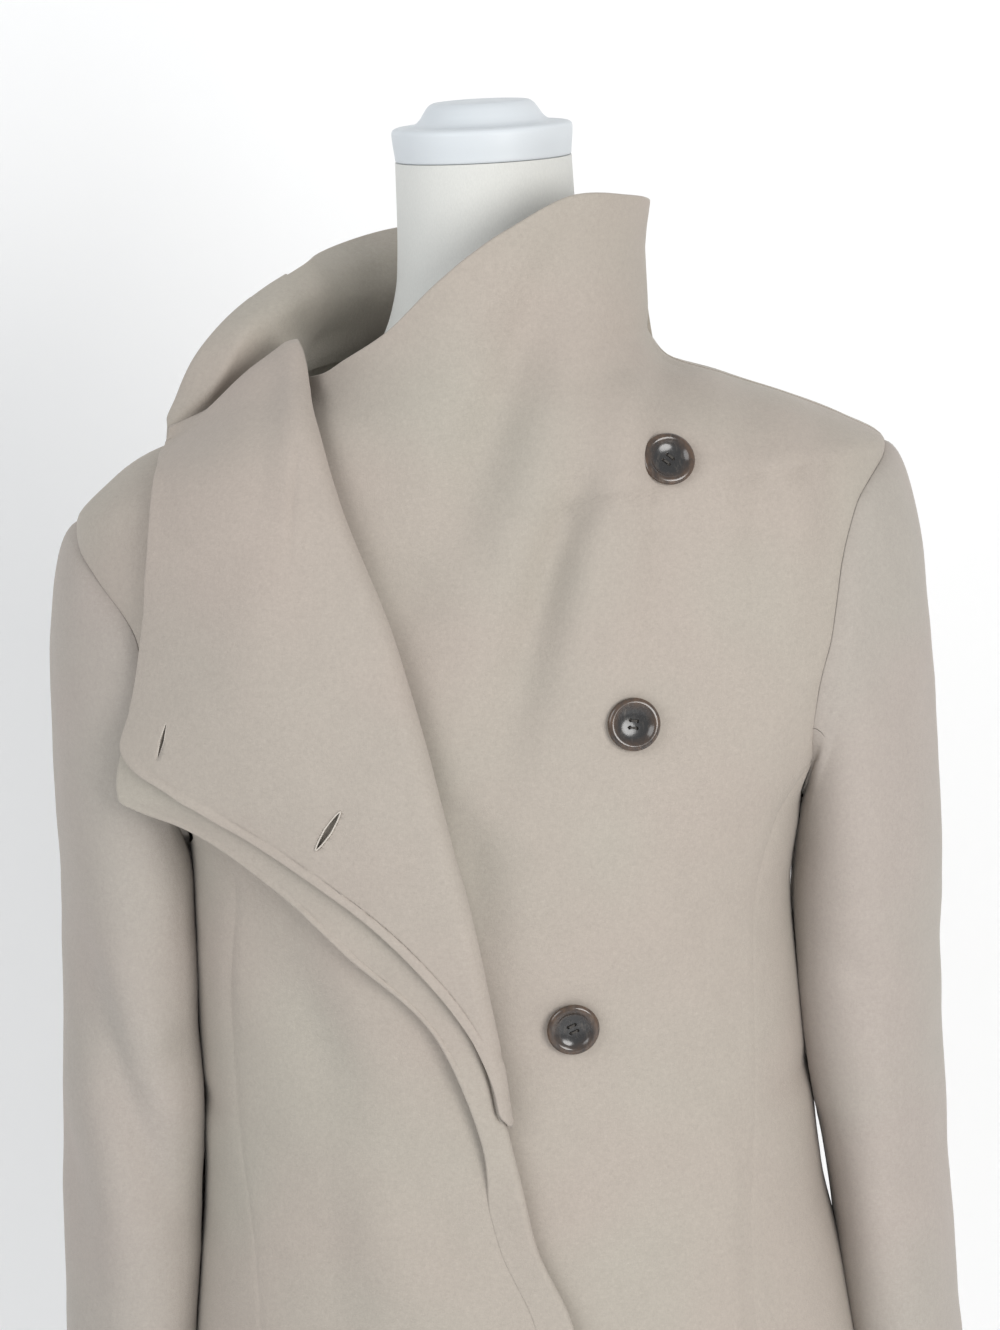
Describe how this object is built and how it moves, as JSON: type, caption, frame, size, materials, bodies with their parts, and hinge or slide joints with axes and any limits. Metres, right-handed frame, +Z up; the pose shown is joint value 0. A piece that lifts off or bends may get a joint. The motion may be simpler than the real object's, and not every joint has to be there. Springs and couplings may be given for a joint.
{
  "type": "asymmetric coat on dress form",
  "caption": "Open-skirted wool coat with one turned-back lapel, funnel collar and offset buttons, hanging on a limbless dress form with a round stand.",
  "frame": {"origin": "on the floor, on the base's flat underside, below the middle of the coat; the pole's axis is 10 mm behind it", "axes": "+Z up along the pole, -Y out of the coat's front toward the viewer, +X to the viewer's right (the wearer's left)"},
  "size_m": [0.5148, 0.34, 1.5116],
  "materials": {
    "wool": "matt felted wool melton, oatmeal, about 2.4 mm thick",
    "horn": "polished dark brown horn",
    "form_skin": "matt white",
    "neck_cap": "satin, cool white",
    "stand_steel": "brushed",
    "stand_base": "satin white paint"
  },
  "bodies": {
    "root": {"coat_back": "wool", "coat_side_left": "wool", "coat_side_right": "wool", "coat_front_left": "wool", "coat_front_right": "wool", "coat_facing_right": "wool", "coat_collar_back": "wool", "sleeve_left_upper": "wool", "sleeve_left_under": "wool", "sleeve_right_upper": "wool", "sleeve_right_under": "wool", "button_1": "horn", "button_2": "horn", "button_3": "horn", "form_body": "form_skin", "neck_cap": "neck_cap", "stand_pole": "stand_steel", "stand_base": "stand_base"}
  },
  "joints": []
}
